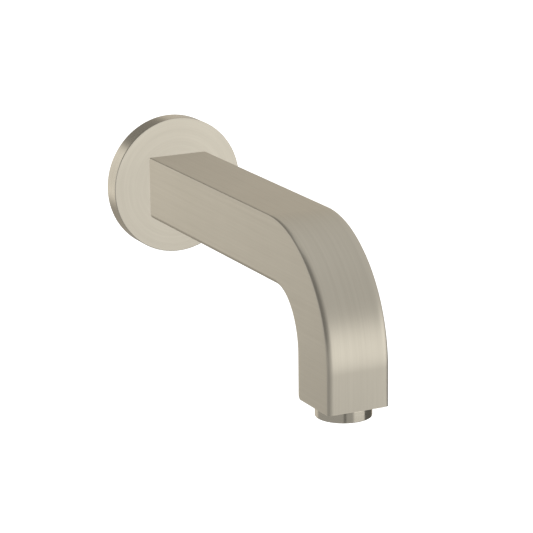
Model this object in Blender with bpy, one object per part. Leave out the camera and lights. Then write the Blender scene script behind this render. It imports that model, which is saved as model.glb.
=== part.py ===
"""Wall mounted bath spout: a square brass arm that turns down to an aerator, held on a threaded wall nipple.

Run with blender --background --python part.py, or from the Text editor. Metres, +Z up.
The origin is on the finished wall, on the nipple's axis. The spout reaches out along -Y.
"""

import math

import bmesh
import bpy
from mathutils import Matrix, Vector

# Driving dimensions
GAP = 0.0003  # clearance between pieces that touch
PAST = 0.002  # how far a cutter runs past the face that it opens

ESCUTCHEON_R = 0.0300
ESCUTCHEON_DEEP = 0.0086
ESCUTCHEON_EDGE = 0.0007
ESCUTCHEON_HOLE_R = 0.0105
ESCUTCHEON_GROOVE_R = 0.0119  # bottom of the ring groove in the hole
ESCUTCHEON_RING_OUT = 0.0066  # the ring's distance out from the wall
ESCUTCHEON_BOSS_R = 0.0160
ESCUTCHEON_BOSS_BACK = 0.0042
ESCUTCHEON_CAVITY_R = 0.0230
ESCUTCHEON_CAVITY_DEEP = 0.0062
GASKET_GROOVE = (0.0240, 0.0280)  # inner and outer radius
GASKET_GROOVE_DEEP = 0.0015

ARM_WIDE = 0.0270
ARM_HIGH = 0.0275
REACH = 0.1765  # wall to the leg's front face
DROP = 0.0697  # top of the arm to the leg's underside
LEG_DEEP = 0.0270
OUTER_BEND = (0.0500, 0.0537)  # half axes along Y and along Z
INNER_BEND = (0.0185, 0.0242)
UPPER_EDGE = (0.0028, 0.0010)  # roundings along the spout's four long edges: on its faces, on its sides
LOWER_EDGE = (0.0023, 0.0023)
HEEL = 0.0016  # rounding of the leg's lower back corner
WATERWAY_R = 0.0080

SLEEVE_R = 0.0100
SLEEVE_END = 0.0450  # distance out from the wall
SLEEVE_LEAD = (0.0008, 0.0012)  # lead-in at the sleeve's end, across and along
SOCKET_R = SLEEVE_R + 0.00035
SOCKET_END = SLEEVE_END + 0.0015
NIPPLE_BORE_R = 0.0059
HEX_KEY = 0.0120  # across flats
HEX_KEY_DEEP = 0.0100
TAIL_R = 0.0103
TAIL_LONG = 0.0140
TAIL_CHAMFER = 0.0010
COLLAR_R = 0.0130
COLLAR = (0.0018, 0.0036)  # its two faces' distances out from the wall
LATCH_OUT = 0.0200  # grub screw's distance out from the wall
LATCH_DEEP = 0.0020
LATCH_HALF_WIDE = 0.0028  # at the groove's mouth
LATCH_SLOPE = 0.0012  # along the axis, on each side of the groove
RING_PLACES = {"rear": 0.0300, "front": 0.0380}
RING_GROOVE_R = 0.0086
RING_GROOVE_WIDE = 0.0019

SCREW_R = 0.00235
SCREW_LONG = 0.0050
SCREW_SUNK = 0.0004
SCREW_CHAMFER = 0.0003
SCREW_TIP_R = 0.0012
SCREW_TIP_LONG = 0.0016
SCREW_KEY = 0.0025
SCREW_KEY_DEEP = 0.0025

OUTLET_OUT = 0.1638
OUTLET_BORE_R = 0.0113
OUTLET_BORE_DEEP = 0.0112
SKIRT_R = 0.0114
SKIRT_DROP = 0.0049
SKIRT_CHAMFER = 0.0004
HOUSING_R = 0.0110
HOUSING_LIP_R = 0.0086
KEY_NOTCH = 0.0022  # width of the four notches that a key turns the housing by
KEY_NOTCH_DEEP = 0.0009
KEY_NOTCH_R = 0.0090

# Heights in the aerator are measured up from the leg's underside
HOUSING_LIP_TOP = -0.0036
HOUSING_TOP = 0.0075
CARTRIDGE_R = 0.0093
CARTRIDGE_BORE_R = 0.0083
CARTRIDGE_FLANGE_R = 0.0105
CARTRIDGE_LIP_R = 0.0075
CARTRIDGE_FOOT = -0.0033
CARTRIDGE_LIP_TOP = -0.0025
CARTRIDGE_TOP = 0.0088
AERATOR_GASKET_R = 0.0108

INSERT_R = 0.0080  # pieces that sit inside the cartridge shell
GRID = (-0.0022, 0.0009)  # underside and top
GRID_CELL = 0.0021
GRID_PITCH = 0.0026
GRID_REACH = 0.0066
SCREEN_LOW = 0.0012
SCREEN_THICK = 0.0004
SCREEN_STEP = 0.0007  # from one screen to the next
SCREEN_OPENING = 0.0018
SCREEN_PITCH = 0.0024
SCREEN_REACH = 0.0062
SCREEN_TURN = math.radians(30)
DIFFUSER_R = 0.0050
DIFFUSER = (0.0034, 0.0044)
JET_PLATE = (0.0047, 0.0060)
JET_WIDE = 0.0012
JET_CIRCLE_R = 0.0062
JETS = 12
SIEVE_FLANGE = (0.0063, 0.0071)

# Derived places
ARM_REAR = ESCUTCHEON_DEEP + GAP
ARM_TOP = ARM_HIGH / 2
LEG_FOOT = ARM_TOP - DROP
AWAY_FROM_WALL = Matrix.Rotation(math.pi / 2, 4, "X")  # local +Z becomes world -Y
AT_OUTLET = Matrix.Translation((0, -OUTLET_OUT, LEG_FOOT))

# Sides of the round pieces
FINE_ROUND = 56
ROUND = 40
INSERT_ROUND = 32
SMALL_ROUND = 24


def clear_scene():
    for obj in list(bpy.data.objects):
        bpy.data.objects.remove(obj, do_unlink=True)


def material(name, colour, roughness, metallic):
    made = bpy.data.materials.new(name)
    made.use_nodes = True
    shader = made.node_tree.nodes["Principled BSDF"]
    shader.inputs["Base Color"].default_value = (*colour, 1)
    shader.inputs["Roughness"].default_value = roughness
    shader.inputs["Metallic"].default_value = metallic
    return made


def add_object(name, bm, finish=None, place=None):
    """A new object from the bmesh, round faces smooth and edges over 30 degrees sharp."""
    bmesh.ops.recalc_face_normals(bm, faces=bm.faces)
    mesh = bpy.data.meshes.new(name)
    bm.to_mesh(mesh)
    bm.free()
    mesh.shade_smooth()
    mesh.set_sharp_from_angle(angle=math.radians(30))
    obj = bpy.data.objects.new(name, mesh)
    bpy.context.scene.collection.objects.link(obj)
    obj.matrix_world = place or Matrix()
    if finish:
        mesh.materials.append(finish)
    return obj


def turned_mesh(outline, steps=ROUND):
    """A bmesh turned about local Z from a closed outline of (radius, height) points."""
    bm = bmesh.new()
    points = [bm.verts.new((radius, 0, height)) for radius, height in outline]
    edges = []
    for a, b in zip(points, points[1:] + points[:1]):
        if a.co.x > 0 or b.co.x > 0:
            edges.append(bm.edges.new((a, b)))
    bmesh.ops.spin(
        bm, geom=points + edges, axis=(0, 0, 1), cent=(0, 0, 0), angle=math.tau, steps=steps, use_merge=True
    )
    bmesh.ops.remove_doubles(bm, verts=bm.verts, dist=1e-6)
    return bm


def ring_outline(inner, outer, low, high):
    return [(inner, low), (outer, low), (outer, high), (inner, high)]


def arc(centre, radius, start, end, steps):
    """Points of a circular arc from start to end, in degrees from the radius axis."""
    found = []
    for step in range(steps + 1):
        angle = math.radians(start + (end - start) * step / steps)
        found.append((centre[0] + radius * math.cos(angle), centre[1] + radius * math.sin(angle)))
    return found


def torus_outline(ring_radius, height, section_radius):
    """Half section of a round ring, as an octagon."""
    return arc((ring_radius, height), section_radius, 0, 315, 7)


def prism_mesh(across_flats, sides, low, high, centre=(0, 0), turn=0.0, bm=None):
    """A bmesh with an upright prism of regular section."""
    bm = bm or bmesh.new()
    radius = across_flats / 2 / math.cos(math.pi / sides)
    place = Matrix.Translation((centre[0], centre[1], (low + high) / 2)) @ Matrix.Rotation(turn, 4, "Z")
    bmesh.ops.create_cone(
        bm, cap_ends=True, segments=sides, radius1=radius, radius2=radius, depth=high - low, matrix=place
    )
    return bm


def cut(obj, bm, name, place=None):
    """Takes the bmesh out of obj with a Boolean whose cutter stays in the file, hidden."""
    cutter = add_object(name, bm, place=place or obj.matrix_world.copy())
    cutter.hide_render = True
    cutter.display_type = "WIRE"
    boolean = obj.modifiers.new(name, "BOOLEAN")
    boolean.operation = "DIFFERENCE"
    boolean.solver = "EXACT"
    boolean.object = cutter


# Spout casting


def bend_stations(steps):
    """(outer, inner) points of the bend in (Y, Z), from the arm to the leg."""
    outer_centre = Vector((-(REACH - OUTER_BEND[0]), ARM_TOP - OUTER_BEND[1]))
    inner_centre = Vector((-(REACH - LEG_DEEP - INNER_BEND[0]), -ARM_TOP - INNER_BEND[1]))
    found = []
    for step in range(steps + 1):
        angle = math.pi / 2 * step / steps
        sine, cosine = math.sin(angle), math.cos(angle)
        outer = outer_centre + Vector((-OUTER_BEND[0] * sine, OUTER_BEND[1] * cosine))
        inner = inner_centre + Vector((-INNER_BEND[0] * sine, INNER_BEND[1] * cosine))
        found.append((outer, inner))
    return found


def foot_stations(steps=3):
    """The leg's last stations, where its back face rounds into the underside."""
    front, back = -REACH, -(REACH - LEG_DEEP)
    found = []
    for step in range(steps + 1):
        angle = math.pi / 2 * step / steps
        height = LEG_FOOT + HEEL * (1 - math.sin(angle))
        found.append((Vector((front, height)), Vector((back - HEEL * (1 - math.cos(angle)), height))))
    return found


def section(bm, outer, inner, corner_steps=3):
    """A rounded square loop of vertices standing between an outer and an inner point."""
    half = ARM_WIDE / 2
    up = (outer - inner).normalized()
    loop = []
    for point, side, (on_face, on_side) in (
        (outer, 1, UPPER_EDGE), (outer, -1, UPPER_EDGE), (inner, -1, LOWER_EDGE), (inner, 1, LOWER_EDGE)
    ):
        into = -up if point is outer else up
        start_at_side = (point is outer) == (side > 0)
        for step in range(corner_steps + 1):
            part = step / corner_steps if start_at_side else 1 - step / corner_steps
            angle = math.pi / 2 * part
            across = side * (half - on_face * (1 - math.cos(angle)))
            spot = point + into * on_side * (1 - math.sin(angle))
            loop.append(bm.verts.new((across, spot.x, spot.y)))
    return loop


def spout_mesh(bend_steps=16):
    bm = bmesh.new()
    rear = (Vector((-ARM_REAR, ARM_TOP)), Vector((-ARM_REAR, -ARM_TOP)))
    loops = [section(bm, *pair) for pair in [rear, *bend_stations(bend_steps), *foot_stations()]]
    for first, second in zip(loops, loops[1:]):
        for a, b, c, d in zip(first, first[1:] + first[:1], second[1:] + second[:1], second):
            bm.faces.new((a, b, c, d))
    bm.faces.new(loops[0])
    bm.faces.new(loops[-1])
    return bm


def waterway_mesh(bend_steps=12, sides=24):
    """A round tube along the spout's middle, from inside the socket to inside the outlet bore."""
    middle = [(outer + inner) / 2 for outer, inner in bend_stations(bend_steps)]
    start = Vector((-(SOCKET_END - PAST), 0))
    end = Vector((middle[-1].x, LEG_FOOT + OUTLET_BORE_DEEP - PAST))
    path = [start, *middle, end]
    bm = bmesh.new()
    loops = []
    for place, point in enumerate(path):
        before, after = path[max(place - 1, 0)], path[min(place + 1, len(path) - 1)]
        along = (after - before).normalized()
        normal = Vector((-along.y, along.x))
        loop = []
        for side in range(sides):
            angle = math.tau * side / sides
            spot = point + normal * WATERWAY_R * math.sin(angle)
            loop.append(bm.verts.new((WATERWAY_R * math.cos(angle), spot.x, spot.y)))
        loops.append(loop)
    for first, second in zip(loops, loops[1:]):
        for a, b, c, d in zip(first, first[1:] + first[:1], second[1:] + second[:1], second):
            bm.faces.new((a, b, c, d))
    bm.faces.new(loops[0])
    bm.faces.new(loops[-1])
    return bm


def make_spout(nickel):
    body = add_object("spout_body", spout_mesh(), nickel)
    cut(body, waterway_mesh(), "cut_waterway")
    socket = ring_outline(0, SOCKET_R, ARM_REAR - PAST, SOCKET_END)
    cut(body, turned_mesh(socket), "cut_socket", AWAY_FROM_WALL)
    outlet = ring_outline(0, OUTLET_BORE_R, -PAST, OUTLET_BORE_DEEP)
    cut(body, turned_mesh(outlet), "cut_outlet", AT_OUTLET)
    latch = ring_outline(0, SCREW_R + GAP, -PAST, ARM_TOP - SOCKET_R + PAST)
    place = Matrix.Translation((0, -LATCH_OUT, -ARM_TOP))
    cut(body, turned_mesh(latch, SMALL_ROUND), "cut_latch_hole", place)


# Wall fixing


def make_escutcheon(nickel, rubber, foam):
    inner, outer = GASKET_GROOVE
    ring_inner = SLEEVE_R + GAP
    ring_section = (ESCUTCHEON_GROOVE_R - GAP - ring_inner) / 2
    groove_low = ESCUTCHEON_RING_OUT - ring_section - GAP
    groove_high = ESCUTCHEON_RING_OUT + ring_section + GAP
    shoulder = (ESCUTCHEON_R - ESCUTCHEON_EDGE, ESCUTCHEON_DEEP - ESCUTCHEON_EDGE)
    outline = [
        (ESCUTCHEON_R, 0),
        *arc(shoulder, ESCUTCHEON_EDGE, 0, 90, 3),
        (ESCUTCHEON_HOLE_R, ESCUTCHEON_DEEP),
        (ESCUTCHEON_HOLE_R, groove_high),
        (ESCUTCHEON_GROOVE_R, groove_high),
        (ESCUTCHEON_GROOVE_R, groove_low),
        (ESCUTCHEON_HOLE_R, groove_low),
        (ESCUTCHEON_HOLE_R, ESCUTCHEON_BOSS_BACK),
        (ESCUTCHEON_BOSS_R, ESCUTCHEON_BOSS_BACK),
        (ESCUTCHEON_BOSS_R, ESCUTCHEON_CAVITY_DEEP),
        (ESCUTCHEON_CAVITY_R, ESCUTCHEON_CAVITY_DEEP),
        (ESCUTCHEON_CAVITY_R, 0),
        (inner, 0),
        (inner, GASKET_GROOVE_DEEP),
        (outer, GASKET_GROOVE_DEEP),
        (outer, 0),
    ]
    add_object("escutcheon", turned_mesh(outline, FINE_ROUND), nickel, AWAY_FROM_WALL)
    ring = torus_outline(ring_inner + ring_section, ESCUTCHEON_RING_OUT, ring_section)
    add_object("escutcheon_oring", turned_mesh(ring, SMALL_ROUND), rubber, AWAY_FROM_WALL)
    gasket = ring_outline(inner + GAP, outer - GAP, 0, GASKET_GROOVE_DEEP - GAP)
    add_object("escutcheon_gasket", turned_mesh(gasket), foam, AWAY_FROM_WALL)


def nipple_outline():
    """Half section from the tail in the wall to the sleeve's end in the spout."""
    collar_low, collar_high = COLLAR
    latch_near, latch_far = LATCH_OUT - LATCH_HALF_WIDE, LATCH_OUT + LATCH_HALF_WIDE
    outline = [
        (NIPPLE_BORE_R, -TAIL_LONG),
        (TAIL_R - TAIL_CHAMFER, -TAIL_LONG),
        (TAIL_R, -TAIL_LONG + TAIL_CHAMFER),
        (TAIL_R, collar_low),
        (COLLAR_R, collar_low),
        (COLLAR_R, collar_high),
        (SLEEVE_R, collar_high),
        (SLEEVE_R, latch_near),
        (SLEEVE_R - LATCH_DEEP, latch_near + LATCH_SLOPE),
        (SLEEVE_R - LATCH_DEEP, latch_far - LATCH_SLOPE),
        (SLEEVE_R, latch_far),
    ]
    for place in RING_PLACES.values():
        low, high = place - RING_GROOVE_WIDE / 2, place + RING_GROOVE_WIDE / 2
        outline += [(SLEEVE_R, low), (RING_GROOVE_R, low), (RING_GROOVE_R, high), (SLEEVE_R, high)]
    outline += [
        (SLEEVE_R, SLEEVE_END - SLEEVE_LEAD[1]),
        (SLEEVE_R - SLEEVE_LEAD[0], SLEEVE_END),
        (NIPPLE_BORE_R, SLEEVE_END),
    ]
    return outline


def make_nipple(brass, rubber, fibre):
    nipple = add_object("wall_nipple", turned_mesh(nipple_outline(), INSERT_ROUND), brass, AWAY_FROM_WALL)
    key = prism_mesh(HEX_KEY, 6, SLEEVE_END - HEX_KEY_DEEP, SLEEVE_END + PAST)
    cut(nipple, key, "cut_nipple_key")
    washer = ring_outline(TAIL_R + GAP, COLLAR_R, 0, COLLAR[0] - GAP)
    add_object("nipple_washer", turned_mesh(washer, SMALL_ROUND), fibre, AWAY_FROM_WALL)
    inner, outer = RING_GROOVE_R + GAP, SOCKET_R - GAP
    for name, place in RING_PLACES.items():
        ring = torus_outline((inner + outer) / 2, place, (outer - inner) / 2)
        add_object(f"sleeve_oring_{name}", turned_mesh(ring, SMALL_ROUND), rubber, AWAY_FROM_WALL)


def make_grub_screw(steel):
    """A cone point set screw, origin on its axis at its outer end."""
    outline = [
        (0, 0),
        (SCREW_R - SCREW_CHAMFER, 0),
        (SCREW_R, SCREW_CHAMFER),
        (SCREW_R, SCREW_LONG - SCREW_TIP_LONG),
        (SCREW_TIP_R, SCREW_LONG),
        (0, SCREW_LONG),
    ]
    place = Matrix.Translation((0, -LATCH_OUT, -ARM_TOP + SCREW_SUNK))
    screw = add_object("grub_screw", turned_mesh(outline, SMALL_ROUND), steel, place)
    cut(screw, prism_mesh(SCREW_KEY, 6, -PAST, SCREW_KEY_DEEP), "cut_screw_key")


# Aerator


def grid_places(pitch, reach):
    """Centres of a honeycomb whose cells stay inside the given radius."""
    found = []
    rows = int(reach / pitch) + 1
    for row in range(-rows, rows + 1):
        for column in range(-rows, rows + 1):
            centre = Vector(((column + row / 2) * pitch, row * pitch * math.sqrt(0.75)))
            if centre.length <= reach:
                found.append(centre)
    return found


def make_housing(nickel):
    """The threaded ring with its visible skirt, origin on the thread's axis."""
    seat_r = CARTRIDGE_R + GAP
    outline = [
        (HOUSING_LIP_R, -SKIRT_DROP),
        (SKIRT_R - SKIRT_CHAMFER, -SKIRT_DROP),
        (SKIRT_R, -SKIRT_DROP + SKIRT_CHAMFER),
        (SKIRT_R, -GAP),
        (HOUSING_R, -GAP),
        (HOUSING_R, HOUSING_TOP),
        (seat_r, HOUSING_TOP),
        (seat_r, HOUSING_LIP_TOP),
        (HOUSING_LIP_R, HOUSING_LIP_TOP),
    ]
    housing = add_object("aerator_housing", turned_mesh(outline), nickel, AT_OUTLET)
    notches = bmesh.new()
    low, high = -SKIRT_DROP - PAST, -SKIRT_DROP + KEY_NOTCH_DEEP
    for quarter in range(4):
        spot = Matrix.Rotation(math.tau * quarter / 4, 3, "Z") @ Vector((KEY_NOTCH_R, 0, 0))
        prism_mesh(KEY_NOTCH, 4, low, high, spot.xy, math.pi / 4, notches)
    cut(housing, notches, "cut_key_notches")


def make_cartridge(plastic, rubber):
    """The shell that holds the insert's pieces, and the gasket over it."""
    flange_low = HOUSING_TOP + GAP
    shell = [
        (CARTRIDGE_LIP_R, CARTRIDGE_FOOT),
        (CARTRIDGE_R, CARTRIDGE_FOOT),
        (CARTRIDGE_R, flange_low),
        (CARTRIDGE_FLANGE_R, flange_low),
        (CARTRIDGE_FLANGE_R, CARTRIDGE_TOP),
        (CARTRIDGE_BORE_R, CARTRIDGE_TOP),
        (CARTRIDGE_BORE_R, CARTRIDGE_LIP_TOP),
        (CARTRIDGE_LIP_R, CARTRIDGE_LIP_TOP),
    ]
    add_object("aerator_cartridge", turned_mesh(shell), plastic, AT_OUTLET)
    inner, low, high = CARTRIDGE_BORE_R + GAP, CARTRIDGE_TOP + GAP, OUTLET_BORE_DEEP - GAP
    gasket = ring_outline(inner, AERATOR_GASKET_R, low, high)
    add_object("aerator_gasket", turned_mesh(gasket, SMALL_ROUND), rubber, AT_OUTLET)


def add_disc(name, low, high, finish, inner=0):
    """A disc or ring that fits inside the cartridge shell."""
    outline = ring_outline(inner, INSERT_R, low, high)
    return add_object(name, turned_mesh(outline, INSERT_ROUND), finish, AT_OUTLET)


def make_grid(plastic):
    """The honeycomb at the outlet, which straightens the stream."""
    low, high = GRID
    grid = add_disc("outlet_grid", low, high, plastic)
    cells = bmesh.new()
    for centre in grid_places(GRID_PITCH, GRID_REACH):
        prism_mesh(GRID_CELL, 6, low - PAST, high + PAST, centre, 0, cells)
    cut(grid, cells, "cut_grid_cells")


def make_screens(steel):
    """Three screens with square openings, each turned from the one below it."""
    for index, name in enumerate(("lower", "middle", "upper")):
        low = SCREEN_LOW + SCREEN_STEP * index
        high = low + SCREEN_THICK
        turn = SCREEN_TURN * index
        screen = add_disc(f"screen_{name}", low, high, steel)
        openings = bmesh.new()
        for column in range(-2, 3):
            for row in range(-2, 3):
                centre = Matrix.Rotation(turn, 2) @ Vector((column, row)) * SCREEN_PITCH
                if centre.length < SCREEN_REACH:
                    corner = turn + math.pi / 4
                    prism_mesh(SCREEN_OPENING, 4, low - PAST, high + PAST, centre, corner, openings)
        cut(screen, openings, f"cut_{name}_openings")


def make_mixing(plastic):
    """The mixing ring, and the plate whose jets draw in the air."""
    add_disc("diffuser_ring", *DIFFUSER, plastic, DIFFUSER_R)
    low, high = JET_PLATE
    plate = add_disc("jet_plate", low, high, plastic)
    jets = bmesh.new()
    for index in range(JETS):
        spot = Matrix.Rotation(math.tau * index / JETS, 3, "Z") @ Vector((JET_CIRCLE_R, 0, 0))
        prism_mesh(JET_WIDE, 8, low - PAST, high + PAST, spot.xy, 0, jets)
    cut(plate, jets, "cut_jets")


def make_sieve(plastic):
    """The inlet sieve: a flange and a hollow dome about 0.5 mm thick."""
    low, high = SIEVE_FLANGE
    outside = [(0.0072, high), (0.0069, 0.0092), (0.0060, 0.0102), (0.0035, 0.0108), (0, 0.0110)]
    inside = [(0, 0.0105), (0.0033, 0.0103), (0.0056, 0.0097), (0.0063, 0.0090), (0.0066, low)]
    dome = [(INSERT_R, low), (INSERT_R, high), *outside, *inside]
    add_object("filter_dome", turned_mesh(dome, INSERT_ROUND), plastic, AT_OUTLET)


def main():
    clear_scene()
    nickel = material("brushed nickel", (0.55, 0.50, 0.42), 0.35, 1.0)
    brass = material("machined brass", (0.68, 0.50, 0.25), 0.3, 1.0)
    steel = material("stainless steel", (0.55, 0.55, 0.54), 0.3, 1.0)
    rubber = material("black rubber", (0.02, 0.02, 0.02), 0.6, 0.0)
    foam = material("grey foam", (0.12, 0.12, 0.12), 0.9, 0.0)
    fibre = material("red fibre", (0.32, 0.07, 0.04), 0.8, 0.0)
    plastic = material("white acetal", (0.75, 0.75, 0.72), 0.4, 0.0)
    make_spout(nickel)
    make_escutcheon(nickel, rubber, foam)
    make_nipple(brass, rubber, fibre)
    make_grub_screw(steel)
    make_housing(nickel)
    make_cartridge(plastic, rubber)
    make_grid(plastic)
    make_screens(steel)
    make_mixing(plastic)
    make_sieve(plastic)


main()
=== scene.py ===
"""A wall mounted bath spout in brushed nickel, built around its CAD frame.

Run as a script it registers its operators, makes every piece and the studio, and leaves the scene ready
to render. Metres, +Z up, the wall's surface at Y = 0 and the spout reaching out along -Y.
"""

import math

import bmesh
import bpy
from mathutils import Matrix, Vector


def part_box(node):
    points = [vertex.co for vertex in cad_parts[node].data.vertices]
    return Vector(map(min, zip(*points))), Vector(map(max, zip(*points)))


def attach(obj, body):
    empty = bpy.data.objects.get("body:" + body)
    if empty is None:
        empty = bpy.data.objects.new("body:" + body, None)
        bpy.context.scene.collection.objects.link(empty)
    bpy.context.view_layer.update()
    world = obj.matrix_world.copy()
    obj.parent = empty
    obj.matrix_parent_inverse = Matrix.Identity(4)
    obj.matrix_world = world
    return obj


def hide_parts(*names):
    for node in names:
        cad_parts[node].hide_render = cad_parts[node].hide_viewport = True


bl_info = {
    "name": "Bath spout",
    "version": (1, 0, 0),
    "blender": (4, 5, 0),
    "location": "3D View > Sidebar > Bath spout",
    "description": "Makes a wall mounted bath spout in brushed nickel around its CAD frame",
    "category": "Object",
}

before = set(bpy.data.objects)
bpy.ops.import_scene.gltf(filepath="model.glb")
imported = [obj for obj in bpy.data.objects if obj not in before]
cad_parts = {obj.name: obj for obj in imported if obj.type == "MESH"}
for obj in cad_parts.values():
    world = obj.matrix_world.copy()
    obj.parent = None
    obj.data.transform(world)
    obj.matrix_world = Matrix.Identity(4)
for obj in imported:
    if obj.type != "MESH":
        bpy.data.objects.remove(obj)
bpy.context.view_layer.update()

MM = 0.001
CASTING_LOW, CASTING_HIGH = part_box("spout_body")
PLATE_LOW, PLATE_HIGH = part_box("escutcheon")
NIPPLE_LOW, NIPPLE_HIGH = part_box("wall_nipple")
SCREW_LOW, SCREW_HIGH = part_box("grub_screw")
RING_LOW, RING_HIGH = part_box("aerator_housing")
OUTLET = Vector((0, (RING_LOW.y + RING_HIGH.y) / 2, CASTING_LOW.z))
AWAY_FROM_WALL = Matrix.Rotation(math.pi / 2, 4, "X")  # local +Z becomes world -Y
AT_OUTLET = Matrix.Translation(OUTLET)
FINE_ROUND = 144  # sides of the large round pieces
ROUND = 96
SMALL_ROUND = 48
SHARP_ANGLE = math.radians(32)  # edges steeper than this stay sharp
SLACK = 0.3 * MM  # space between pieces that fit in one another
SOCKET = 10.35 * MM  # radius of the casting's socket, which slips over the nipple
SLEEVE = 10.0 * MM  # radius of the nipple's sleeve


# What a user would change


def length(name, description, default):
    return bpy.props.FloatProperty(
        name=name, description=description, default=default, min=0.0, subtype="DISTANCE", unit="LENGTH"
    )


def share(name, description, default):
    return bpy.props.FloatProperty(name=name, description=description, default=default, min=0.0, max=1.0)


def tint(name, description, hex_colour):
    return bpy.props.StringProperty(name=name, description=description, default=hex_colour)


def turn(name, description, degrees):
    return bpy.props.FloatProperty(
        name=name, description=description, default=math.radians(degrees), subtype="ANGLE", unit="ROTATION"
    )


class SpoutShape(bpy.types.PropertyGroup):
    """The casting's sizes that its box doesn't give"""

    leg_deep: length("Leg depth", "Front face of the leg to its back", 27.0 * MM)
    outer_along: length("Outer bend, along", "Half axis of the outer bend along the arm", 50.0 * MM)
    outer_down: length("Outer bend, down", "Half axis of the outer bend down the leg", 53.7 * MM)
    inner_along: length("Inner bend, along", "Half axis of the inner bend along the arm", 18.5 * MM)
    inner_down: length("Inner bend, down", "Half axis of the inner bend down the leg", 24.2 * MM)
    upper_face: length("Upper edges, on the face", "Rounding in from the side, at its fullest", 2.8 * MM)
    upper_side: length("Upper edges, on the side", "Rounding in from the top, at its fullest", 1.0 * MM)
    crisp_share: share("Crisp share", "How much of the upper edges' rounding the straight arm has", 0.3)
    lower_edge: length("Lower edges", "Rounding of the underside's and the back's edges", 2.3 * MM)
    heel: length("Heel", "Rounding of the leg's lower back corner", 1.6 * MM)
    waterway: length("Waterway", "Radius of the bore through the casting", 8.0 * MM)


class SpoutFinish(bpy.types.PropertyGroup):
    """Colours as sRGB hex, and how rough and how directional the metal is"""

    nickel: tint("Nickel", "Colour of the nickel plate", "D6CFBF")
    nickel_edge: tint("Nickel, grazing", "Colour of the nickel seen along its surface", "FFF7EA")
    nickel_worn: tint("Nickel, low", "Colour down in the brush marks", "CFC8B8")
    brass: tint("Brass", "Colour of the bare brass", "D9B871")
    brass_dull: tint("Brass, dull", "Colour of handled brass", "B8954F")
    brass_cast: tint("Brass, as cast", "Colour of the bores' cast skin", "8F7440")
    steel: tint("Steel", "Colour of the stainless steel", "C9C9C6")
    steel_dull: tint("Steel, low", "Colour down in the steel's marks", "A3A39F")
    rubber: tint("Rubber", "Colour of the seals", "1C1C1D")
    foam: tint("Foam", "Colour of the plate's gasket", "3E3F41")
    fibre: tint("Fibre", "Colour of the pressed fibre washer", "8C3423")
    acetal: tint("Acetal", "Colour of the aerator's plastic", "E4E3DC")
    nickel_rough: share("Nickel roughness", "Roughness of the brushed plate", 0.34)
    nickel_grain: share("Nickel grain", "How much the brush marks stretch a highlight", 0.45)


class SpoutStudio(bpy.types.PropertyGroup):
    """The camera and the floor"""

    azimuth: turn("Azimuth", "Camera's angle round the object, 0 facing the wall", -26.15)
    elevation: turn("Elevation", "Camera's angle above the horizon", 15.144)
    roll: turn("Roll", "Camera's tilt about its own axis", -0.635)
    distance: length("Distance", "Camera to the point it looks at", 1080.8 * MM)
    lens: bpy.props.FloatProperty(name="Lens", description="Focal length in millimetres", default=173.815)
    floor_drop: length("Floor drop", "The spout's axis to the floor", 1200.0 * MM)
    floor_radius: length("Floor radius", "The floor's radius", 30.0)


# Colours and nodes


def linear(hex_colour):
    """An sRGB hex colour as linear red, green, blue and alpha."""
    found = []
    for place in (0, 2, 4):
        part = int(hex_colour[place : place + 2], 16) / 255
        found.append(part / 12.92 if part <= 0.04045 else ((part + 0.055) / 1.055) ** 2.4)
    return (*found, 1.0)


def add(tree, kind, inputs=None, **settings):
    """Adds a node with its settings. An input is a value or the socket that feeds it."""
    node = tree.nodes.new(kind)
    for name, value in settings.items():
        setattr(node, name, value)
    for name, value in (inputs or {}).items():
        if isinstance(value, bpy.types.NodeSocket):
            tree.links.new(value, node.inputs[name])
        else:
            node.inputs[name].default_value = value
    return node


def start_material(name):
    material = bpy.data.materials.new(name)
    material.use_nodes = True
    material.node_tree.nodes.clear()
    return material, material.node_tree


def surface(tree, **inputs):
    """The Principled shader and the output. Underscores in an input's name stand for spaces."""
    shader = add(tree, "ShaderNodeBsdfPrincipled", {k.replace("_", " "): v for k, v in inputs.items()})
    add(tree, "ShaderNodeOutputMaterial", {"Surface": shader.outputs["BSDF"]})


def flat_grain(tree, across, along):
    """Grain places on a brushed face: the brush map in units of a mark's width and length."""
    spot = add(tree, "ShaderNodeUVMap", uv_map="brush")
    scaled = add(
        tree, "ShaderNodeMapping", {"Vector": spot.outputs["UV"], "Scale": (1 / across, 1 / along, 1)}
    )
    return scaled.outputs["Vector"]


def turned_grain(tree, across, along, axis, centre=(0, 0, 0)):
    """Grain places on a turned piece.

    The first is the distance from the axis and along it in mark widths, the others are in mark lengths.
    """
    spot = add(tree, "ShaderNodeTexCoord")
    moved = add(
        tree, "ShaderNodeVectorMath", {0: spot.outputs["Object"], 1: centre}, operation="SUBTRACT"
    )
    flat = (1, 0, 1) if axis == "Y" else (1, 1, 0)
    high = (0, 1, 0) if axis == "Y" else (0, 0, 1)
    spread = add(tree, "ShaderNodeVectorMath", {0: moved.outputs[0], 1: flat}, operation="MULTIPLY")
    radius = add(tree, "ShaderNodeVectorMath", {0: spread.outputs[0]}, operation="LENGTH")
    height = add(tree, "ShaderNodeVectorMath", {0: moved.outputs[0], 1: high}, operation="DOT_PRODUCT")
    profile = add(
        tree, "ShaderNodeMath", {0: radius.outputs["Value"], 1: height.outputs["Value"]}, operation="ADD"
    )
    marks = add(tree, "ShaderNodeMath", {0: profile.outputs[0], 1: 1 / across}, operation="MULTIPLY")
    slow = add(
        tree, "ShaderNodeVectorMath", {0: spread.outputs[0], "Scale": 1 / along}, operation="SCALE"
    )
    parts = add(tree, "ShaderNodeSeparateXYZ", {0: slow.outputs[0]})
    last = parts.outputs["Z" if axis == "Y" else "Y"]
    joined = add(tree, "ShaderNodeCombineXYZ", {"X": marks.outputs[0], "Y": parts.outputs["X"], "Z": last})
    return joined.outputs[0]


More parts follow.
